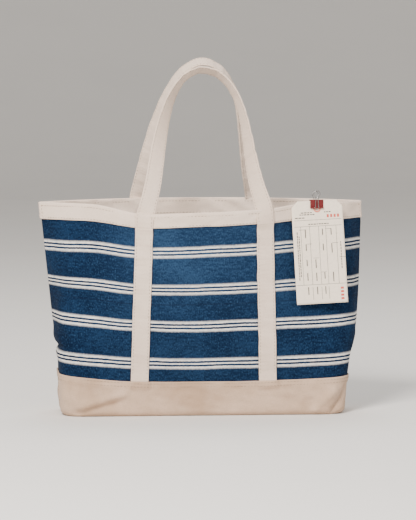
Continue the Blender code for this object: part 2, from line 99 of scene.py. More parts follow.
def base_half():
    half, deep = BASE_LENGTH / 2, BASE_DEPTH / 2
    turn = np.linspace(0.0, math.pi / 2, 33)
    left_x = -half + BASE_CORNER * (1 - np.cos(turn))
    left_y = -deep + BASE_CORNER * (1 - np.sin(turn))
    left = np.stack([left_x, left_y], axis=-1)
    return np.concatenate([[(-half, 0.0)], left, left[::-1] * (-1, 1), [(half, 0.0)]])


def rim_half():
    deep = MOUTH_DEPTH / 2
    half = TOP_WIDTH / 2 - CANVAS_OUT / math.sin(math.atan(deep * RIM_CURVE / (TOP_WIDTH / 2)))
    x = half * np.sin(np.linspace(-math.pi / 2, math.pi / 2, 481))
    return np.stack([x, -deep * (1 - (np.abs(x) / half) ** RIM_CURVE)], axis=-1)


BASE_OUTLINE, RIM_OUTLINE = base_half(), rim_half()
HALF_ROUND = float(np.linalg.norm(np.diff(RIM_OUTLINE, axis=0), axis=1).sum())


def field(seed, x, y, long_x, long_y, terms=9):
    """A smooth random field of about -1 to 1, with features about long_x by long_y in size."""
    rng = np.random.default_rng(seed)
    total = 0.0
    spread = 1.7
    for _ in range(terms):
        kx, ky = rng.normal(0, 1, 2)
        wave = kx * x / (spread * long_x) + ky * y / (spread * long_y)
        total = total + np.sin(2 * math.pi * wave + rng.uniform(0, 2 * math.pi))
    return total / math.sqrt(terms)


def ridge(x, y, a, b, width):
    """1 on the line from a to b, falling away across it and at its ends."""
    a, b = np.array(a), np.array(b)
    along = (b - a) / np.linalg.norm(b - a)
    run = ((x - a[0]) * along[0] + (y - a[1]) * along[1]) / np.linalg.norm(b - a)
    off = (x - a[0]) * -along[1] + (y - a[1]) * along[0]
    return np.exp(-((off / width) ** 2)) * smooth(run / 0.25 + 0.5) * smooth((1 - run) / 0.25 + 0.5)


def plain(u, h, front):
    u, h = np.broadcast_arrays(np.asarray(u, float), np.asarray(h, float))
    t = (h - BASE_HEIGHT) / (WALL_TOP - BASE_HEIGHT)
    share = np.clip(t, 0.0, None) ** 1.15
    low = by_length(BASE_OUTLINE, (u + 1) / 2)
    high = by_length(RIM_OUTLINE, (u + 1) / 2)
    low = low * (1 - BASE_TAPER * np.clip(1 - h / BASE_HEIGHT, 0, 1) ** 1.5)[..., None]
    flat = low * (1 - share)[..., None] + high * share[..., None]
    x, y = flat[..., 0], flat[..., 1]
    z = h.copy()
    if front:
        across = high[..., 0]
        middle = smooth((0.165 - np.abs(across)) / 0.085)
        sag = RIM_SAG * middle
        # The left strap drags the rim down a little, the right one lets it rise.
        dragged = 0.0030 * np.exp(-(((across + 0.085) / 0.055) ** 2))
        risen = 0.0030 * np.exp(-(((across - 0.090) / 0.050) ** 2))
        sag = sag + dragged - risen
        sag = sag * smooth((t - 0.2) / 0.75)
        # The band's top edge rolls in along the middle.
        z = z - sag + middle * (0.0022 * smooth((t - 0.6) / 0.3) - 0.0050 * smooth((t - 0.88) / 0.12))
        pull = CLIP_PULL * np.exp(-(((x - CLIP_X - 0.030) / 0.032) ** 2))
        pull = pull - CLIP_PUSH * np.exp(-(((x - CLIP_X + 0.034) / 0.024) ** 2))
        y = y - pull * smooth((t - 0.35) / 0.6) * smooth((TOP_WIDTH / 2 - 0.004 - x) / 0.022)
    else:
        y = -y
    reach = np.where(h > SIDE_FULL_AT, SIDE_FULL_ABOVE, SIDE_FULL_BELOW)
    full = np.exp(-(((h - SIDE_FULL_AT) / reach) ** 2)) * smooth((1 - t) / 0.12)
    x = x + SIDE_FULL * full * smooth((u - 0.45) / 0.5)
    # The ends of the base are drawn up, the left one further, and its middle hangs. The left end stands in.
    walls = smooth(h / BASE_HEIGHT) * smooth((0.25 - h) / 0.12)
    ends = 0.0092 * smooth((-u - 0.42) / 0.50) + 0.0036 * smooth((u - 0.50) / 0.42)
    z = z + walls * (ends - 0.0022 * smooth((0.62 - np.abs(u)) / 0.45))
    x = x + 0.0035 * smooth((-u - 0.55) / 0.40) * smooth((0.15 - h) / 0.10)
    return np.stack([x, y, z], axis=-1)


def normals(surface, u, h, front):
    step = 2e-4
    along = surface(u + step, h, front) - surface(u - step, h, front)
    up = surface(u, h + step, front) - surface(u, h - step, front)
    normal = np.cross(along, up) if front else np.cross(up, along)
    return normal / np.linalg.norm(normal, axis=-1)[..., None]


def swell(u, h, front):
    """How far the slack cloth stands off its plain shape."""
    x = u * HALF_ROUND / 2
    free = smooth((1.0 - np.abs(u)) / 0.10)
    walls = smooth((h - BASE_HEIGHT) / 0.03) * smooth((WALL_TOP + 0.004 - h) / 0.06)
    out = 0.0011 * field(11 + front, x, h, 0.075, 0.060) * walls * free
    out = out + 0.0004 * field(21 + front, x, h, 0.030, 0.018) * walls * free
    out = out + 0.0016 * np.exp(-(((h - 0.125) / 0.055) ** 2)) * (1 - u * u) * walls
    boot = smooth((BASE_HEIGHT + 0.004 - h) / 0.012) * smooth(h / 0.006)
    out = out + 0.0007 * field(31 + front, x, h, 0.060, 0.022) * boot * free
    if front:
        out = out + boot * (0.0042 * ridge(x, h, (-0.180, 0.012), (-0.110, 0.034), 0.0055)
                            - 0.0034 * ridge(x, h, (-0.190, 0.004), (-0.120, 0.020), 0.0050)
                            - 0.0042 * ridge(x, h, (0.186, 0.002), (0.212, 0.042), 0.0050)
                            + 0.0040 * ridge(x, h, (0.160, 0.004), (0.190, 0.036), 0.0060)
                            - 0.0018 * ridge(x, h, (0.090, 0.030), (0.170, 0.012), 0.0070))
        near_clip = np.exp(-(((x - 0.175) / 0.060) ** 2)) * smooth((h - 0.15) / 0.08)
        out = out * (1 - near_clip)
    # The left side gives way in a short fold a hand's breadth above the floor.
    side = smooth((-u - 0.72) / 0.2)
    for size, middle, reach in ((0.0020, 0.104, 0.009), (-0.0036, 0.090, 0.004), (0.0016, 0.079, 0.009)):
        out = out + side * size * np.exp(-(((h - middle) / reach) ** 2))
    return out


def slack(u, h, front):
    u, h = np.broadcast_arrays(np.asarray(u, float), np.asarray(h, float))
    return plain(u, h, front) + normals(plain, u, h, front) * swell(u, h, front)[..., None]


def wall(u, h, out, front):
    u, h, out = np.broadcast_arrays(np.asarray(u, float), np.asarray(h, float), np.asarray(out, float))
    normal = normals(slack, u, h, front)
    return slack(u, h, front) + normal * out[..., None], normal


def u_at(x, h, front):
    u = np.linspace(-0.85, 0.85, 681)
    return float(np.interp(x, plain(u, np.full_like(u, h), front)[:, 0], u))


def strap_x(h):
    share = (h - BASE_HEIGHT) / (WALL_TOP - BASE_HEIGHT)
    return (SPREAD_LOW + (SPREAD_TOP - SPREAD_LOW) * share) / 2


# ---------------------------------------------------------------- materials
def nodes_of(mat):
    mat.use_nodes = True
    tree = mat.node_tree
    return tree, tree.nodes["Principled BSDF"]


def add(tree, kind, **settings):
    node = tree.nodes.new(kind)
    for key, value in settings.items():
        if key in node.inputs:
            node.inputs[key].default_value = value
        else:
            setattr(node, key, value)
    return node


def math_node(tree, operation, a, b=None, c=None):
    node = add(tree, "ShaderNodeMath", operation=operation)
    for k, value in enumerate((a, b, c)):
        if value is None:
            continue
        if isinstance(value, (int, float)):
            node.inputs[k].default_value = value
        else:
            tree.links.new(value, node.inputs[k])
    return node.outputs[0]


def times(tree, a, b):
    return math_node(tree, "MULTIPLY", a, b)


def plus(tree, a, b):
    return math_node(tree, "ADD", a, b)


def minus(tree, a, b):
    return math_node(tree, "SUBTRACT", a, b)


def ramp(tree, source, low, high, out_low=0.0, out_high=1.0):
    node = add(tree, "ShaderNodeMapRange", interpolation_type="SMOOTHSTEP")
    for name, value in (("From Min", low), ("From Max", high), ("To Min", out_low), ("To Max", out_high)):
        node.inputs[name].default_value = value
    tree.links.new(source, node.inputs["Value"])
    return node.outputs["Result"]


def mix(tree, share, a, b):
    node = add(tree, "ShaderNodeMix", data_type="RGBA")
    for socket, value in ((node.inputs[0], share), (node.inputs[6], a), (node.inputs[7], b)):
        if isinstance(value, tuple):
            socket.default_value = (*value, 1.0)
        elif isinstance(value, (int, float)):
            socket.default_value = value
        else:
            tree.links.new(value, socket)
    return node.outputs[2]


def uv(tree, stretch=(1.0, 1.0)):
    """The piece's UV map, which holds metres on the cloth, as a vector and as its two parts."""
    source = add(tree, "ShaderNodeUVMap", uv_map="cloth")
    place = add(tree, "ShaderNodeMapping")
    place.inputs["Scale"].default_value = (*stretch, 1.0)
    tree.links.new(source.outputs[0], place.inputs[0])
    parts = add(tree, "ShaderNodeSeparateXYZ")
    tree.links.new(source.outputs[0], parts.inputs[0])
    return place.outputs[0], parts.outputs[0], parts.outputs[1]


def noise(tree, scale, stretch=(1.0, 1.0), detail=3.0, rough=0.55):
    vector, _, _ = uv(tree, stretch)
    node = add(tree, "ShaderNodeTexNoise", noise_dimensions="2D")
    node.inputs["Scale"].default_value = scale
    node.inputs["Detail"].default_value = detail
    node.inputs["Roughness"].default_value = rough
    tree.links.new(vector, node.inputs["Vector"])
    return node.outputs[0]


def weave(tree, yarn):
    """Height of a plain weave: warp and weft yarns passing over each other."""
    _, x, y = uv(tree)
    per = math.pi / yarn
    wave_x = math_node(tree, "SINE", times(tree, x, per))
    wave_y = math_node(tree, "SINE", times(tree, y, per))
    warp, weft = (math_node(tree, "ABSOLUTE", wave) for wave in (wave_x, wave_y))
    over = times(tree, times(tree, wave_x, wave_y), 0.5)
    return plus(tree, math_node(tree, "MAXIMUM", warp, weft), over)


def bump(tree, shader, heights):
    """heights: (socket, metres) pairs, from broad to fine."""
    last = None
    for source, size in heights:
        node = add(tree, "ShaderNodeBump")
        node.inputs["Strength"].default_value = 1.0
        node.inputs["Distance"].default_value = size
        tree.links.new(source, node.inputs["Height"])
        if last:
            tree.links.new(last, node.inputs["Normal"])
        last = node.outputs[0]
    tree.links.new(last, shader.inputs["Normal"])


def fabric(shader, roughness, sheen=0.10, gloss=0.18):
    shader.inputs["Roughness"].default_value = roughness
    shader.inputs["Specular IOR Level"].default_value = gloss
    shader.inputs["Sheen Weight"].default_value = sheen
    shader.inputs["Sheen Roughness"].default_value = 0.5


def canvas_material(name, light, dark, yarn=0.00062, soil=0.35, creases=(0.5, 0.7), crease_depth=0.0009):
    """Undyed canvas: slubs both ways, flecks of seed, broad soiling, creases and a plain weave."""
    mat = bpy.data.materials.new(name)
    tree, shader = nodes_of(mat)
    fabric(shader, 0.88)
    broad = noise(tree, 9.0, detail=4.0)
    slub = noise(tree, 170.0, (1.0, 9.0), 2.0)
    cross = noise(tree, 170.0, (9.0, 1.0), 2.0)
    flecks = noise(tree, 900.0, detail=1.0)
    colour = mix(tree, times(tree, ramp(tree, broad, 0.35, 0.70), soil), light, dark)
    threads = plus(tree, times(tree, slub, 0.5), times(tree, cross, 0.5))
    deeper = tuple(c * 0.80 for c in dark)
    colour = mix(tree, times(tree, ramp(tree, threads, 0.38, 0.66), 0.22), colour, deeper)
    colour = mix(tree, times(tree, ramp(tree, flecks, 0.66, 0.74), 0.35), colour, SEED_BROWN)
    tree.links.new(colour, shader.inputs["Base Color"])
    crease = noise(tree, 75.0, creases, 2.0)
    heights = ((broad, 0.0010), (crease, crease_depth), (threads, 0.00030), (weave(tree, yarn), 0.00008))
    bump(tree, shader, heights)
    return mat


def striped_material():
    mat = bpy.data.materials.new("indigo_stripe")
    tree, shader = nodes_of(mat)
    fabric(shader, 0.92, 0.015, 0.06)
    _, x, y = uv(tree)
    # Distance from the middle of the nearest stripe group, wandering a little as the weft does.
    wander = times(tree, minus(tree, noise(tree, 7.0, (1.0, 0.3), 2.0), 0.5), 0.0050)
    fray = times(tree, minus(tree, noise(tree, 420.0, (1.0, 0.35), 2.0), 0.5), 0.0011)
    level = plus(tree, minus(tree, y, STRIPE_FIRST - STRIPE_PITCH / 2), wander)
    inside = minus(tree, math_node(tree, "FLOORED_MODULO", level, STRIPE_PITCH), STRIPE_PITCH / 2)
    away = plus(tree, math_node(tree, "ABSOLUTE", inside), fray)
    edge = 0.00042
    thin = ramp(tree, away, STRIPE_THIN - edge, STRIPE_THIN + edge, 1.0, 0.0)
    inner = ramp(tree, away, STRIPE_IN - edge, STRIPE_IN + edge)
    outer = ramp(tree, away, STRIPE_OUT - 0.0036, STRIPE_OUT + 0.0006, 1.0, 0.0)
    thick = times(tree, inner, outer)
    pale = math_node(tree, "MAXIMUM", thin, thick)
    mottle = noise(tree, 11.0, (1.0, 1.5), 5.0, 0.60)
    slub = noise(tree, 300.0, (0.35, 1.0), 3.0)
    fleck = noise(tree, 520.0, (1.0, 0.7), 2.0)
    # Painted light: the blue is painted lighter in the middle of the panel, most of all under the rim, and
    # darker towards the sides and the foot, where shade falls.
    middle = ramp(tree, math_node(tree, "ABSOLUTE", x), 0.060, 0.200, 1.0, 0.0)
    wear_and_painted_light = times(tree, middle, ramp(tree, y, 0.060, 0.190, 0.25, 1.0))
    deep = mix(tree, wear_and_painted_light, (0.0018, 0.0080, 0.0252), (0.0064, 0.0200, 0.0520))
    pale_blue = mix(tree, wear_and_painted_light, (0.0066, 0.0235, 0.0605), (0.0200, 0.0500, 0.1060))
    yarns = plus(tree, times(tree, slub, 0.32), times(tree, fleck, 0.38))
    tone = plus(tree, times(tree, mottle, 0.30), yarns)
    blue = mix(tree, ramp(tree, tone, 0.38, 0.63), deep, pale_blue)
    blue = mix(tree, times(tree, ramp(tree, fleck, 0.62, 0.74), 0.35), blue, (0.0380, 0.0850, 0.1520))
    # One darker pick runs right across, a loose thread of the weft.
    from_pick = math_node(tree, "ABSOLUTE", minus(tree, plus(tree, y, wander), DARK_PICK))
    slack_line = ramp(tree, from_pick, 0.0005, 0.0016, 0.45, 0.0)
    blue = mix(tree, slack_line, blue, (0.0045, 0.0100, 0.0280))
    white = mix(tree, ramp(tree, slub, 0.40, 0.70), (0.730, 0.690, 0.640), (0.520, 0.520, 0.510))
    tree.links.new(mix(tree, pale, blue, white), shader.inputs["Base Color"])
    bump(tree, shader, ((mottle, 0.0006), (slub, 0.00022), (weave(tree, 0.00075), 0.00009)))
    return mat


def plain_material(name, colour, roughness, metallic=0.0, coat=0.0, wear=0.12, scale=700.0, size=0.00002):
    """Metal, card, thread or paper: a little wear in colour and roughness, and a fine bump."""
    mat = bpy.data.materials.new(name)
    tree, shader = nodes_of(mat)
    shader.inputs["Metallic"].default_value = metallic
    shader.inputs["Coat Weight"].default_value = coat
    shader.inputs["Coat Roughness"].default_value = 0.12
    place = add(tree, "ShaderNodeTexCoord")
    grain = add(tree, "ShaderNodeTexNoise")
    grain.inputs["Scale"].default_value = scale
    grain.inputs["Detail"].default_value = 4.0
    tree.links.new(place.outputs["Object"], grain.inputs["Vector"])
    darker = tuple(c * (1 - 2.2 * wear) for c in colour)
    wear_and_painted_light = mix(tree, ramp(tree, grain.outputs[0], 0.40, 0.68), colour, darker)
    rough = ramp(tree, grain.outputs[0], 0.30, 0.75, roughness * 0.85, min(1.0, roughness * 1.25))
    tree.links.new(wear_and_painted_light, shader.inputs["Base Color"])
    tree.links.new(rough, shader.inputs["Roughness"])
    bump(tree, shader, ((grain.outputs[0], size),))
    return mat


STRIPE_PITCH, STRIPE_FIRST = 0.0552, 0.0262
STRIPE_THIN, STRIPE_IN, STRIPE_OUT, DARK_PICK = 0.00115, 0.0040, 0.0088, 0.1140
SEED_BROWN = (0.42, 0.31, 0.20)
CANVAS_MAT = canvas_material("natural_canvas", (0.820, 0.665, 0.555), (0.690, 0.530, 0.415))
# Painted light: the base's colours are darker and more orange than the rest of the canvas, and the orange is
# painted warm light thrown up from a wooden stool seat.
BOOT_PAINTED_BOUNCE_MAT = canvas_material(
    "boot_canvas_painted_bounce", (0.600, 0.430, 0.315), (0.400, 0.260, 0.165), soil=0.75, crease_depth=0.0014
)
STRAP_MAT = canvas_material(
    "strap_canvas", (0.800, 0.645, 0.535), (0.650, 0.500, 0.390),
    yarn=0.00055, soil=0.35, creases=(0.15, 1.2), crease_depth=0.0016,
)
STRIPE_MAT = striped_material()
THREAD_MAT = plain_material("cotton_thread", (0.36, 0.27, 0.19), 0.8, scale=1500.0)
CARD_MAT = plain_material("tag_card", (0.880, 0.760, 0.620), 0.82, wear=0.03, scale=260.0, size=0.00003)
INK_MAT = plain_material("grey_ink", (0.028, 0.026, 0.026), 0.85, wear=0.15, scale=900.0)
RED_INK_MAT = plain_material("red_ink", (0.62, 0.10, 0.07), 0.85, wear=0.10, scale=900.0)
RED_MAT = plain_material("red_enamel", (0.130, 0.0001, 0.0006), 0.55, wear=0.10, scale=320.0, size=0.00001)
WIRE_MAT = plain_material(
    "nickel_wire", (0.33, 0.32, 0.31), 0.30, metallic=1.0, wear=0.10, scale=500.0, size=0.00001
)
RING_MAT = plain_material("ring_paper", (0.700, 0.235, 0.160), 0.80, wear=0.08, scale=600.0)


# ---------------------------------------------------------------- meshes
def finish_mesh(name, verts, faces, uvs, mat):
    """A mesh object with its cloth coordinates; uvs is one pair a vertex."""
    mesh = bpy.data.meshes.new(name)
    mesh.from_pydata([tuple(v) for v in verts], [], [tuple(int(i) for i in f) for f in faces])
    layer = mesh.uv_layers.new(name="cloth")
    index = np.zeros(len(mesh.loops), dtype=np.int32)
    mesh.loops.foreach_get("vertex_index", index)
    layer.data.foreach_set("uv", np.asarray(uvs, np.float32)[index].ravel())
    mesh.materials.append(mat)
    mesh.polygons.foreach_set("use_smooth", [True] * len(mesh.polygons))
    obj = bpy.data.objects.new(name, mesh)
    bpy.context.scene.collection.objects.link(obj)
    return obj


def grid_faces(rows, cols, closed=False):
    i, j = np.meshgrid(np.arange(rows - 1), np.arange(cols if closed else cols - 1), indexing="ij")
    k = (j + 1) % cols
    corners = [i * cols + j, i * cols + k, (i + 1) * cols + k, (i + 1) * cols + j]
    return np.stack(corners, axis=-1).reshape(-1, 4)


def face_outward(obj):
    bm = bmesh.new()
    bm.from_mesh(obj.data)
    bmesh.ops.recalc_face_normals(bm, faces=bm.faces)
    bm.to_mesh(obj.data)
    bm.free()


def apply_all(obj):
    """The object's modifiers made part of its mesh."""
    graph = bpy.context.evaluated_depsgraph_get()
    shown = obj.evaluated_get(graph)
    mesh = bpy.data.meshes.new_from_object(shown, preserve_all_data_layers=True, depsgraph=graph)
    obj.modifiers.clear()
    obj.data = mesh
    return obj


def cloth_sheet(name, points, uvs, thickness, mat, closed=False, cap=False):
    """Rows of points as cloth of that thickness."""
    rows, cols = points.shape[:2]
    faces = [tuple(f) for f in grid_faces(rows, cols, closed)]
    if cap:
        faces.append(tuple(range((rows - 1) * cols, rows * cols)))
    obj = finish_mesh(name, points.reshape(-1, 3), faces, uvs.reshape(-1, 2), mat)
    face_outward(obj)
    shell = obj.modifiers.new("thickness", "SOLIDIFY")
    shell.thickness, shell.offset = thickness, 0.0
    apply_all(obj)
    return obj


def strip_uv(u, h):
    return np.stack(np.broadcast_arrays(u * HALF_ROUND / 2, h - BASE_HEIGHT), axis=-1)


def section(half_width, half_thick):
    """A folded strap's outline: round edges, and pinched along its two rows of stitching."""
    edge = [(1.0, 0.0), (0.985, 0.55), (0.93, 0.92)]
    side = edge + [(0.86, 0.86), (0.80, 0.80), (0.72, 0.97), (0.36, 1.0), (0.0, 1.0)]
    top = side + [(-w, t) for w, t in side[-2::-1]]
    upper = [(w * half_width, t * half_thick) for w, t in top]
    lower = [(w * half_width, -t * half_thick) for w, t in top[-2:0:-1]]
    return upper + lower


def sweep(name, centre, across, facing, mat, start=0.0):
    """A strap along a line of centres, with the directions of its width and its face."""
    outline = np.array(section(STRAP_WIDTH / 2, STRAP / 2))
    wide, thick = outline[None, :, :1], outline[None, :, 1:]
    points = centre[:, None, :] + across[:, None, :] * wide + facing[:, None, :] * thick
    run = np.concatenate([[0.0], np.cumsum(np.linalg.norm(np.diff(centre, axis=0), axis=1))]) + start
    # The under face lies beside the upper one on the map.
    place = outline[None, :, 0] + 0.04 * (outline[None, :, 1] < 0)
    uvs = np.stack(np.broadcast_arrays(place, run[:, None]), axis=-1)
    rows, cols = points.shape[:2]
    faces = [tuple(f) for f in grid_faces(rows, cols, True)]
    faces += [tuple(range(cols))[::-1], tuple(range((rows - 1) * cols, rows * cols))]
    obj = finish_mesh(name, points.reshape(-1, 3), faces, uvs.reshape(-1, 2), mat)
    face_outward(obj)
    return obj


def stitches(name, rows, length=0.0034, space=0.0014, radius=0.00034):
    """Thread along each row of points and normals: short pillows with their ends sunk into the cloth."""
    verts, faces, count = [], [], 0
    for line, normal in rows:
        line, normal = np.asarray(line), np.asarray(normal)
        steps = np.linalg.norm(np.diff(line, axis=0), axis=1)
        run = np.concatenate([[0.0], np.cumsum(steps)])
        number = max(1, int(run[-1] / (length + space)))
        start = (np.arange(number) + 0.5) * run[-1] / number - length / 2
        for s in start:
            at = s + length * np.array([0.0, 0.22, 0.5, 0.78, 1.0])
            centre = np.stack([np.interp(at, run, line[:, k]) for k in range(3)], axis=-1)
            up = np.stack([np.interp(at, run, normal[:, k]) for k in range(3)], axis=-1)
            up /= np.linalg.norm(up, axis=1)[:, None]
            ahead = centre[-1] - centre[0]
            side = np.cross(up, ahead / np.linalg.norm(ahead))
            lift = radius * np.array([-0.9, 0.25, 0.55, 0.25, -0.9])
            wide = radius * np.array([0.55, 1.0, 1.0, 1.0, 0.55])
            for k in range(5):
                middle = centre[k] + up[k] * lift[k]
                for w, t in ((1, 0), (0, 1), (-1, 0), (0, -1)):
                    verts.append(middle + side[k] * wide[k] * w + up[k] * wide[k] * t * 0.8)
            for k in range(4):
                for j in range(4):
                    a, b = count + 4 * k + j, count + 4 * k + (j + 1) % 4
                    faces.append((a, b, b + 4, a + 4))
            faces.append((count + 3, count + 2, count + 1, count))
            faces.append((count + 16, count + 17, count + 18, count + 19))
            count += 20
    return finish_mesh(name, verts, faces, np.zeros((len(verts), 2)), THREAD_MAT)


# ---------------------------------------------------------------- striped panels and bands
def to_seam(h, out, front, count=221):
    """Places from one side seam to the other, where a skin that stands off by `out` meets its twin."""
    ends = []
    for side in (-1.0, 1.0):
        here, normal = wall(side, h, 0.0, front)
        ahead = wall(side * 1.0002, h, 0.0, front)[0] - here
        toward = (-1 if front else 1) * normal[1] * out - 0.0004
        ends.append(side * (1.0 + toward / (np.abs(ahead[1]) / 0.0002)))
    return np.linspace(ends[0], ends[1], count)


def rows_on_wall(h_of_u, out, front, u=None):
    """A line round the wall for a row of stitches: its points and normals."""
    u = np.linspace(-0.985, 0.985, 240) if u is None else u
    return wall(u, np.broadcast_to(h_of_u, u.shape), out, front)


def seam_line(u, low, high, out, front, count=30):
    h = np.linspace(low, high, count)
    return wall(np.full(count, u), h, out, front)


BAND_WRINKLE = {"front": 0.00045, "back": 0.00085}

for front, face in ((True, "front"), (False, "back")):
    h = np.linspace(BASE_HEIGHT - 0.011, WALL_TOP - 0.0075, 118)
    around = np.array([to_seam(v, 0.0, front) for v in h])
    points, _ = wall(around, h[:, None], 0.0, front)
    cloth = cloth_sheet(f"{face}_striped_cloth", points, strip_uv(around, h[:, None]), CLOTH, STRIPE_MAT)
    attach(cloth, "bag_body")
    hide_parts(f"{face}_panel")
    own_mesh(cloth)

    # The band: outside leg, crown and inside leg of one folded strip.
    low = WALL_TOP - BAND_HEIGHT
    leg = np.linspace(low, WALL_TOP, 12)[:-1]
    turn = np.linspace(0.0, math.pi, 9)
    crown = [(CANVAS_MID * math.cos(a), WALL_TOP, CANVAS_MID * math.sin(a)) for a in turn]
    path = [(CANVAS_MID, v, 0.0) for v in leg] + crown + [(-CANVAS_MID, v, 0.0) for v in leg[::-1]]
    rows, coords, run = [], [], 0.0
    for k, (out, v, rise) in enumerate(path):
        u = to_seam(v, abs(out), front)
        x = u * HALF_ROUND / 2
        pucker = 0.00022 * field(41 + front, x, run, 0.012, 0.012)
        pucker = pucker + BAND_WRINKLE[face] * field(51 + front, x, run, 0.035, 0.020)
        # A wrinkle may stand off the cloth, but presses toward it by less than the gap between them.
        pucker = np.maximum(pucker, -0.6 * GAP)
        row, normal = wall(u, v, out, front)
        on_leg = (abs(out) >= CANVAS_MID - 1e-9) * (1 if out > 0 else -1)
        row = row + normal * (pucker * on_leg)[:, None] * smooth((v - low) / 0.004 + 0.4)
        row[:, 2] += rise
        rows.append(row)
        coords.append(np.stack([x, np.full_like(x, run)], axis=-1))
        if k + 1 < len(path):
            run += math.hypot(path[k + 1][0] - out, path[k + 1][1] + path[k + 1][2] - v - rise)
    strip = cloth_sheet(f"{face}_rim_canvas", np.array(rows), np.array(coords), CANVAS, CANVAS_MAT)
    lines = []
    for down in (0.0032, BAND_HEIGHT - 0.0026):
        lines.append(rows_on_wall(WALL_TOP - down, CANVAS_OUT, front))
        inner, n = rows_on_wall(WALL_TOP - down, -CANVAS_OUT, front)
        lines.append((inner, -n))
    for u in (-1, 1):
        beside = u * (1 - 0.0042 / (HALF_ROUND / 2))
        lines.append(seam_line(beside, low + 0.002, WALL_TOP - 0.001, CANVAS_OUT, front))
    sewing = stitches(f"{face}_rim_stitching", lines)
    for piece in (strip, sewing):
        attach(piece, "rim")
    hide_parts(f"{face}_top_band")


# ---------------------------------------------------------------- canvas base
def over_strap(u, h, front):
    """How far the base's edge stands out where it laps a strap's end."""
    x = plain(u, np.full_like(u, max(h, 0.02)), front)[:, 0]
    near = smooth((STRAP_WIDTH / 2 + 0.0045 - np.abs(np.abs(x) - strap_x(BASE_HEIGHT))) / 0.0045)
    return 0.0026 * near * float(smooth((h - 0.036) / 0.009))


BOOT_U = np.linspace(-1.0, 1.0, 241)
boot_path = [(h, 0.0, h) for h in np.linspace(BASE_HEIGHT, BASE_FOLD + CANVAS / 2, 20)]
for a in np.linspace(0.0, math.pi / 2, 8)[1:]:
    z = CANVAS / 2 + BASE_FOLD * (1 - math.sin(a))
    boot_path.append((z, BASE_FOLD * (1 - math.cos(a)), z))
boot_path += [(0.0, BASE_FOLD + 0.010, CANVAS / 2), (0.0, BASE_FOLD + 0.024, CANVAS / 2)]
rows, coords, run = [], [], BASE_HEIGHT
for k, (h, inset, z) in enumerate(boot_path):
    halves = []
    for front in (True, False):
        row, normal = wall(BOOT_U, h, CANVAS_MID, front)
        hem = 0.0005 * float(smooth((h - BASE_HEIGHT + 0.0108) / 0.0010))
        wrinkle = 0.00035 * field(61 + front, BOOT_U * HALF_ROUND / 2, h, 0.020, 0.014)
        wrinkle = wrinkle * float(smooth(z / 0.01)) * smooth((1 - np.abs(BOOT_U)) / 0.05)
        row = row + normal * (over_strap(BOOT_U, h, front) + hem + wrinkle)[:, None]
        # The edge rises and falls with the wall, and the foot stays level.
        lift = (plain(BOOT_U, h, front)[:, 2] - h) * float(smooth((h - 0.006) / 0.034))
        row = row - normal * inset
        row[:, 2] = z + lift
        halves.append(row if front else row[::-1])
    rows.append(np.concatenate([halves[0][:-1], halves[1][:-1]]))
    side = np.concatenate([BOOT_U[:-1], 2.0 + BOOT_U[:-1]]) * HALF_ROUND / 2
    coords.append(np.stack([side, np.full_like(side, h - inset)], axis=-1))
boot = cloth_sheet("base_canvas", np.array(rows), np.array(coords), CANVAS, BOOT_PAINTED_BOUNCE_MAT, closed=True, cap=True)
lines = []
for front in (True, False):
    for down in (0.0028, 0.0075):
        h = BASE_HEIGHT - down
        u = np.linspace(-0.995, 0.995, 260)
        line, normal = wall(u, np.full_like(u, h), CANVAS_OUT, front)
        lines.append((line + normal * (over_strap(u, h, front) + 0.0005)[:, None], normal))
for side in (-1, 1):
    line, normal = seam_line(side * 0.999, 0.010, BASE_HEIGHT - 0.010, CANVAS_OUT + 0.0001, True)
    for shift in (-0.0030, 0.0030):
        lines.append((line + np.array([0.0, shift, 0.0]), normal))
boot_sewing = stitches("base_stitching", lines)
for piece in (boot, boot_sewing):
    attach(piece, "bag_body")
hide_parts("base_panel")


# ---------------------------------------------------------------- straps and handles
def steps(points, gap=0.0028):
    length = np.linalg.norm(np.diff(points, axis=0), axis=1).sum()
    return max(8, int(length / gap))


def on_wall(side, front, heights, out):
    """A strap's centres, width directions and faces on the wall."""
    centre, across, facing = [], [], []
    for h, o in zip(heights, out):
        u = u_at(side * strap_x(h), h, front)
        point, normal = wall(u, h, o, front)
        ahead = wall(u + 0.01, h, o, front)[0] - wall(u - 0.01, h, o, front)[0]
        ahead /= np.linalg.norm(ahead)
        centre.append(point)
        across.append(ahead)
        facing.append(normal)
    return np.array(centre), np.array(across), np.array(facing)


def edge_rows(centre, across, facing, faces=(1,), trim=2):
    """Two rows of stitching along a strap, on each face asked for."""
    rows = []
    for sign in faces:
        for side in (-1, 1):
            line = centre + across * (side * 0.80 * STRAP_WIDTH / 2) + facing * (sign * 0.80 * STRAP / 2)
            rows.append((line[trim:-trim or None], facing[trim:-trim or None] * sign))
    return rows


def even(centre, *more, gap=0.0028, soft=3.0):
    """Resampled to even steps, with directions and bends softened."""
    run = np.concatenate([[0.0], np.cumsum(np.linalg.norm(np.diff(centre, axis=0), axis=1))])
    at = np.linspace(0.0, run[-1], int(run[-1] / gap))
    out = [np.stack([np.interp(at, run, part[:, k]) for k in range(3)], axis=-1) for part in (centre, *more)]
    kernel = np.exp(-0.5 * (np.arange(-8, 9) / soft) ** 2)
    kernel /= kernel.sum()
    result = []
    for n, part in enumerate(out):
        padded = np.concatenate([2 * part[:1] - part[8:0:-1], part, 2 * part[-1:] - part[-2:-10:-1]])
        part = np.stack([np.convolve(padded[:, k], kernel, "valid") for k in range(3)], axis=-1)
        if n:
            part /= np.linalg.norm(part, axis=1)[:, None]
        result.append(part)
    return result


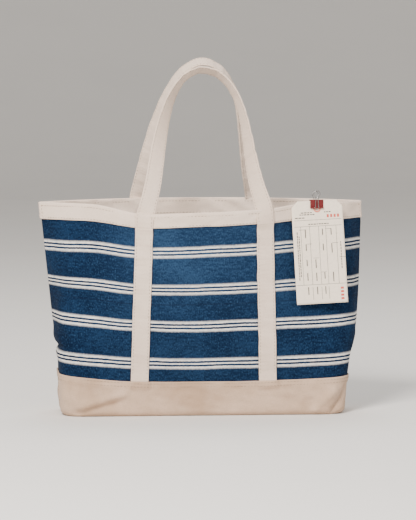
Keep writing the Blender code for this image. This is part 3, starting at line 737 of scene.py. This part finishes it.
def handle_line(front):
    """The loop from its left foot to its right one: centres, width directions and faces."""
    sign = -1.0 if front else 1.0
    feet = {}
    for side in (-1, 1):
        centre, across, facing = on_wall(side, front, [WALL_TOP], [OVER_BAND])
        feet[side] = centre[0] + (0, 0, CANVAS_MID + CANVAS / 2), facing[0]
    rise_top = RIM_HEIGHT - RIM_SAG + HANDLE_RISE + (0.0 if front else HANDLE_OVER)
    sweep_at = np.linspace(-1.0, 1.0, 801)
    share = np.sin(math.pi / 2 * (1 - np.abs(sweep_at)))
    left = sweep_at < 0
    pinch, pinch_at, shoulder = (np.where(left, a, b) for a, b in zip(*LOOP[front]))
    shape = (1 - pinch * (1 - np.exp(-share / pinch_at))) * np.sqrt(np.clip(1 - share**shoulder, 0, None))
    foot = np.where(left[:, None], feet[-1][0], feet[1][0])
    top = np.array([0.0, sign * APEX_Y, rise_top])
    x = foot[:, 0] * shape + LOOP_SHIFT * smooth((share - 0.3) / 0.7)
    y, z = (foot[:, k] + (top[k] - foot[:, k]) * share for k in (1, 2))
    line = np.stack([x, y, z], axis=-1)
    run = np.concatenate([[0.0], np.cumsum(np.linalg.norm(np.diff(line, axis=0), axis=1))])
    at = np.linspace(0.010, run[-1] - 0.010, 220)
    centre = np.stack([np.interp(at, run, line[:, k]) for k in range(3)], axis=-1)
    tangent = np.gradient(centre, axis=0)
    tangent /= np.linalg.norm(tangent, axis=1)[:, None]
    start = (feet[-1][0] + feet[1][0]) / 2
    up = np.array([0.0, top[1] - start[1], top[2] - start[2]])
    up /= np.linalg.norm(up)
    facing = np.cross(up, (-sign, 0.0, 0.0))
    yaw = math.atan2(abs(feet[1][1][0]), abs(feet[1][1][1]))
    height = np.clip((centre[:, 2] - start[2]) / (top[2] - start[2]), 0.0, 1.0)
    late = np.where(centre[:, 0] < 0, *TWIST[front])
    twist = yaw + (math.pi / 2 - yaw) * height**late
    outward = np.cross(tangent, (0.0, 1.0, 0.0))
    outward -= (outward @ facing)[:, None] * facing
    outward /= np.linalg.norm(outward, axis=1)[:, None]
    hollow = (0, top[1] * 0.5, start[2] + (top[2] - start[2]) * 0.35)
    outward *= np.sign((outward * (centre - hollow)).sum(axis=1))[:, None]
    face = np.cos(twist)[:, None] * facing + np.sin(twist)[:, None] * outward
    across = np.cross(tangent, face)
    across /= np.linalg.norm(across, axis=1)[:, None]
    if across[0, 0] < 0:
        across = -across
    for k in range(1, len(across)):
        if across[k] @ across[k - 1] < 0:
            across[k] = -across[k]
    return centre, across, face


for front, face in ((True, "front"), (False, "back")):
    step_at = WALL_TOP - BAND_HEIGHT
    for side, hand in ((-1, "left"), (1, "right")):
        heights = np.linspace(BASE_HEIGHT - 0.006, step_at + 0.0008, 90)
        out = STRAP_MID + (OVER_BAND - STRAP_MID) * smooth((heights - step_at + 0.012) / 0.012)
        centre, across, facing = on_wall(side, front, heights, out)
        pucker = 0.00035 * field(71 + side + 3 * front, heights, 0.0, 0.011, 1.0)
        centre = centre + facing * (pucker * smooth((heights - 0.20) / 0.05))[:, None]
        leg = sweep(f"{face}_{hand}_strap_leg", centre, across, facing, STRAP_MAT)
        sewing = stitches(f"{face}_{hand}_leg_stitching", edge_rows(centre, across, facing, trim=6))
        for piece in (leg, sewing):
            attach(piece, "bag_body")
            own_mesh(piece)
        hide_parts(f"{face}_{hand}_strap")

    # From the band's lower edge over the rim, round the loop and down to the band's edge again.
    heights = np.linspace(step_at - 0.0008, WALL_TOP - 0.004, 12)
    out = np.full(12, OVER_BAND)
    up = on_wall(-1, front, heights, out)
    down = [part[::-1] for part in on_wall(1, front, heights, out)]
    loop = handle_line(front)
    facing = np.concatenate([up[2], loop[2], down[2]])
    across = np.concatenate([up[1], loop[1], down[1] * (1 if loop[1][-1] @ down[1][0] > 0 else -1)])
    going_down = (np.arange(len(facing)) >= len(up[2]) + len(loop[2]))[:, None]
    facing = np.where(going_down, facing * (1 if loop[2][-1] @ down[2][0] > 0 else -1), facing)
    centre, across, facing = even(np.concatenate([up[0], loop[0], down[0]]), across, facing)
    ahead = np.gradient(centre, axis=0)
    along = (across * ahead).sum(axis=1)[:, None]
    across = across - along * ahead / (np.linalg.norm(ahead, axis=1) ** 2)[:, None]
    across /= np.linalg.norm(across, axis=1)[:, None]
    place = np.arange(len(centre))
    rumple = 0.0003 * field(81 + front, place * 0.0028, 0.0, 0.014, 1.0)
    centre = centre + facing * rumple[:, None] * smooth(np.minimum(place, place[::-1]) / 4.0)[:, None]
    strap = sweep(f"{face}_handle_strap", centre, across, facing, STRAP_MAT, start=0.3)
    sewing = stitches(f"{face}_handle_stitching", edge_rows(centre, across, facing, faces=(1, -1), trim=1))
    foot_z = RIM_HEIGHT - (RIM_SAG if front else 0.0)
    foot_y = (-1 if front else 1) * 0.085
    for piece in (strap, sewing):
        low, high = (0, foot_y, foot_z - 0.006), (0, foot_y, foot_z + 0.022)
        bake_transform(piece)
    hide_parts(f"{face}_handle", f"{face}_left_strap_top", f"{face}_right_strap_top")

# ---------------------------------------------------------------- clip and tag
for name, mat in (("clip_body", RED_MAT), ("tag_ring_front", RING_MAT), ("tag_ring_back", RING_MAT)):
    obj = frame["nodes"][name]
    obj.data.materials.clear()
    obj.data.materials.append(mat)

u_clip = u_at(CLIP_X, WALL_TOP, True)
at = plain(u_clip, WALL_TOP, True)
clip_normal = normals(plain, np.array(u_clip), np.array(WALL_TOP), True)
turn = math.atan2(float(clip_normal[0]), -float(clip_normal[1]))
on_rim = Matrix.Translation((float(at[0]), float(at[1]), float(at[2]) + CANVAS_OUT))
rim_frame = on_rim @ Matrix.Rotation(turn, 4, "Z") @ Matrix.Rotation(CLIP_LEAN, 4, "X")
tag_frame = rim_frame @ Matrix.Translation((0, 0, TAG_ABOVE)) @ Matrix.Rotation(-TAG_TURN, 4, "Y")
RING_ROOM, INK_LIFT = 0.00035, 0.00005
CARD_Y = -(CANVAS_OUT + GAP + RING_ROOM + TAG_CARD / 2)


def lever_wire(name, sign, pivot):
    """A round wire: two feet, legs that draw in to a neck, and an open loop."""
    arm = LEVER_LENGTH - LEVER_LOOP
    foot = CLIP_WIDTH / 2 - 0.0006
    half = [(foot, 0.0), (foot * 0.72, 0.0), (LEVER_SPREAD + 0.0014, 0.0)]
    half += [(LEVER_SPREAD + 0.0004, 0.0003), (LEVER_SPREAD + 0.0001, 0.0016), (LEVER_SPREAD, 0.0035)]
    half += [(LEVER_NECK + 0.0004, arm * 0.38), (LEVER_NECK, arm * 0.56), (LEVER_NECK + 0.0008, arm * 0.72)]
    half += [(LEVER_LOOP * 0.80, arm * 0.86)]
    loop_turn = np.radians([-20, 10, 40, 70])
    half += [(LEVER_LOOP * math.cos(a), arm + LEVER_LOOP * math.sin(a)) for a in loop_turn]
    path = [(-x, r) for x, r in half] + [(0.0, LEVER_LENGTH)] + half[::-1]
    curve = bpy.data.curves.new(name, "CURVE")
    curve.dimensions = "3D"
    curve.bevel_depth, curve.bevel_resolution, curve.use_fill_caps = WIRE, 4, True
    line = curve.splines.new("NURBS")
    line.points.add(len(path) - 1)
    for point, (x, r) in zip(line.points, path):
        point.co = (x, sign * r * math.sin(LEVER_LEAN), r * math.cos(LEVER_LEAN), 1.0)
    line.order_u, line.use_endpoint_u, line.resolution_u = 4, True, 5
    curve.materials.append(WIRE_MAT)
    made = bpy.data.objects.new(name + "_path", curve)
    bpy.context.scene.collection.objects.link(made)
    graph = bpy.context.evaluated_depsgraph_get()
    wire = bpy.data.objects.new(name, bpy.data.meshes.new_from_object(made.evaluated_get(graph)))
    bpy.data.objects.remove(made, do_unlink=True)
    wire.data.polygons.foreach_set("use_smooth", [True] * len(wire.data.polygons))
    bpy.context.scene.collection.objects.link(wire)
    wire.matrix_world = Matrix.Translation(pivot) @ rim_frame.to_3x3().to_4x4()
    return wire


for name, sign in (("front", -1), ("back", 1)):
    joint = next(j for j in frame["record"]["behaviour"]["joints"] if j["name"] == f"{name}_lever_fold")
    wire = lever_wire(f"{name}_lever_wire", sign, joint["pos_m"])
    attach(wire, f"clip_lever_{name}")
    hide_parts(f"clip_lever_{name}")


def curl(x, z):
    """How far the card bends away from the wall."""
    foot = 0.0012 * np.clip((-z - 0.05) / 0.1, 0, None) ** 2
    sides = 0.0009 * (x / (TAG_WIDTH / 2)) ** 2 * smooth((-z - 0.02) / 0.04)
    return -foot - sides


def card_half(z):
    return TAG_WIDTH / 2 - np.clip(TAG_CUT + z, 0.0, TAG_CUT)


tag_rows = np.unique(np.concatenate([np.linspace(-TAG_LENGTH, -TAG_CUT, 40), np.linspace(-TAG_CUT, 0.0, 8)]))
share = np.linspace(-1.0, 1.0, 31)
x = card_half(tag_rows)[:, None] * share[None, :]
z = np.broadcast_to(tag_rows[:, None], x.shape)
card_points = np.stack([x, CARD_Y + curl(x, z), z], axis=-1)
card = cloth_sheet("tag_paper", card_points, np.stack([x, z], axis=-1), TAG_CARD, CARD_MAT)
hole = bpy.data.objects.new("hole", bpy.data.meshes.new("hole"))
bm = bmesh.new()
bmesh.ops.create_cone(bm, cap_ends=True, segments=40, radius1=TAG_HOLE, radius2=TAG_HOLE, depth=0.01)
bmesh.ops.rotate(bm, verts=bm.verts, matrix=Matrix.Rotation(math.pi / 2, 3, "X"))
bmesh.ops.translate(bm, verts=bm.verts, vec=(0, CARD_Y, -TAG_HOLE_DOWN))
bm.to_mesh(hole.data)
bm.free()
bpy.context.scene.collection.objects.link(hole)
punch = card.modifiers.new("hole", "BOOLEAN")
punch.operation, punch.solver, punch.object = "DIFFERENCE", "EXACT", hole
apply_all(card)
bpy.data.objects.remove(hole, do_unlink=True)
card.matrix_world = tag_frame


def printed(name, marks, mat):
    """Flat printed marks on the card, each a centre, a width and a height in the card's plane."""
    verts, faces = [], []
    for cx, cz, w, h in marks:
        across = max(1, int(w / 0.004))
        down = max(1, int(h / 0.004))
        first = len(verts)
        for i in range(down + 1):
            for j in range(across + 1):
                px, pz = cx + w * (j / across - 0.5), cz + h * (0.5 - i / down)
                bend = float(curl(np.array(px), np.array(pz)))
                verts.append((px, CARD_Y - TAG_CARD / 2 - INK_LIFT + bend, pz))
        faces += [tuple(first + v for v in f) for f in grid_faces(down + 1, across + 1)]
    obj = finish_mesh(name, verts, faces, np.zeros((len(verts), 2)), mat)
    obj.matrix_world = tag_frame
    return obj


rng = np.random.default_rng(5)
half = TAG_WIDTH / 2
fine = 0.00048
ink = []
# Header dashes, two ruled lines, and a table of columns down to the tear-off stub.
headings = (
    (0.0168, -0.024, -0.010), (0.0168, 0.010, 0.017), (0.0196, -0.026, -0.006),
    (0.0240, -0.033, -0.020), (0.0335, -0.014, 0.016),
)
for row, left, right in headings:
    at_x = left
    while at_x < right:
        w = rng.uniform(0.0018, 0.0042)
        ink.append((at_x + w / 2, -row, w, 0.0013))
        at_x += w + 0.0010
for row in (0.0275, 0.0365):
    ink.append((0.0, -row, TAG_WIDTH - 0.006, fine))
ink.append((0.0, -0.1200, TAG_WIDTH - 0.002, fine))
for column in (-0.0255, -0.0125, 0.0005, 0.0110, 0.0260):
    ink.append((column, -(0.0365 + 0.1200) / 2, fine, 0.0835))
for column in (-0.0125, 0.0005, 0.0110):
    ink.append((column, -0.1325, fine, 0.0180))
for column, low, high in ((-0.0310, 0.044, 0.112), (-0.0285, 0.050, 0.108), (0.0315, 0.060, 0.096)):
    at_z = low
    while at_z < high:
        w = rng.uniform(0.0015, 0.0045)
        ink.append((column, -(at_z + w / 2), 0.0012, w))
        at_z += w + 0.0009
for column in (-0.019, -0.006, 0.006, 0.0185):
    for low in (0.0405, 0.062, 0.084, 0.103):
        if rng.uniform() < 0.90:
            w = rng.uniform(0.006, 0.014)
            ink.append((column, -(low + w / 2), 0.0013, w))
for column in (-0.019, -0.006, 0.006):
    ink.append((column, -0.1285, 0.0013, 0.0110))
for k in range(7):
    ink.append((-0.024 + 0.0095 * k, -0.0410 - 0.0205 * (k % 4), 0.0085, fine))
red = []
for k in range(4):
    red.append((0.0150 + 0.0050 * k, -0.0225, 0.0030, 0.0046))
    red.append((0.0300, -0.1265 - 0.0050 * k, 0.0046, 0.0030))
print_black = printed("tag_print", ink, INK_MAT)
print_red = printed("tag_bars", red, RED_INK_MAT)
for piece in (card, print_black, print_red):
    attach(piece, "clip")
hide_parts("tag_card")

# ---------------------------------------------------------------- camera, floor and light
YAW, DISTANCE, EYE_Z = math.radians(4.6), 4.9, 0.60
right = Vector((math.cos(YAW), -math.sin(YAW), 0.0))
target = Vector((0.0, 0.0, 0.2194)) + right * 0.0109
eye = target - Vector((math.sin(YAW), math.cos(YAW), 0.0)) * DISTANCE
eye.z = EYE_Z
camera = bpy.data.objects.new("camera", bpy.data.cameras.new("camera"))
camera.data.lens = 235.5
camera.data.sensor_width = 36.0
camera.location = eye
camera.rotation_euler = (target - eye).to_track_quat("-Z", "Y").to_euler()
bpy.context.scene.collection.objects.link(camera)
bpy.context.scene.camera = camera

# The floor is level round the bag and curves up far behind it, so that no horizon shows.
FLOOR_BACK, FLOOR_ROUND = 5.5, 3.0
rise = [(-9.0, 0.0), (0.0, 0.0)]
for a in np.linspace(0.0, math.pi / 2, 25):
    rise.append((FLOOR_BACK + FLOOR_ROUND * math.sin(a), FLOOR_ROUND * (1 - math.cos(a))))
rise.append((FLOOR_BACK + FLOOR_ROUND, 9.0))
floor_points = [(x, y, z) for y, z in rise for x in (-12.0, 12.0)]
floor_mat = plain_material("pale_floor", (0.80, 0.775, 0.745), 0.9, wear=0.008, scale=3.0)
floor_uvs = np.zeros((len(floor_points), 2))
floor = finish_mesh("floor", floor_points, grid_faces(len(rise), 2), floor_uvs, floor_mat)


def area_light(name, place, towards, size, power, colour):
    lamp = bpy.data.lights.new(name, "AREA")
    lamp.shape, lamp.size, lamp.energy, lamp.color = "DISK", size, power, colour
    obj = bpy.data.objects.new(name, lamp)
    obj.location = place
    obj.rotation_euler = (Vector(towards) - Vector(place)).to_track_quat("-Z", "Y").to_euler()
    bpy.context.scene.collection.objects.link(obj)


area_light("key", (-1.1, -2.4, 2.3), (0, 0, 0.25), 1.0, 190.0, (1.0, 0.955, 0.905))
area_light("fill", (2.2, -2.2, 1.2), (0, 0, 0.2), 1.8, 26.0, (0.98, 0.97, 0.97))
area_light("top", (0.2, 1.2, 2.6), (0, 0, 0.3), 1.6, 34.0, (1.0, 0.98, 0.96))
world = bpy.data.worlds.new("studio")
bpy.context.scene.world = world
world.use_nodes = True
world.node_tree.nodes["Background"].inputs["Color"].default_value = (1.0, 0.98, 0.95, 1.0)
world.node_tree.nodes["Background"].inputs["Strength"].default_value = 0.58
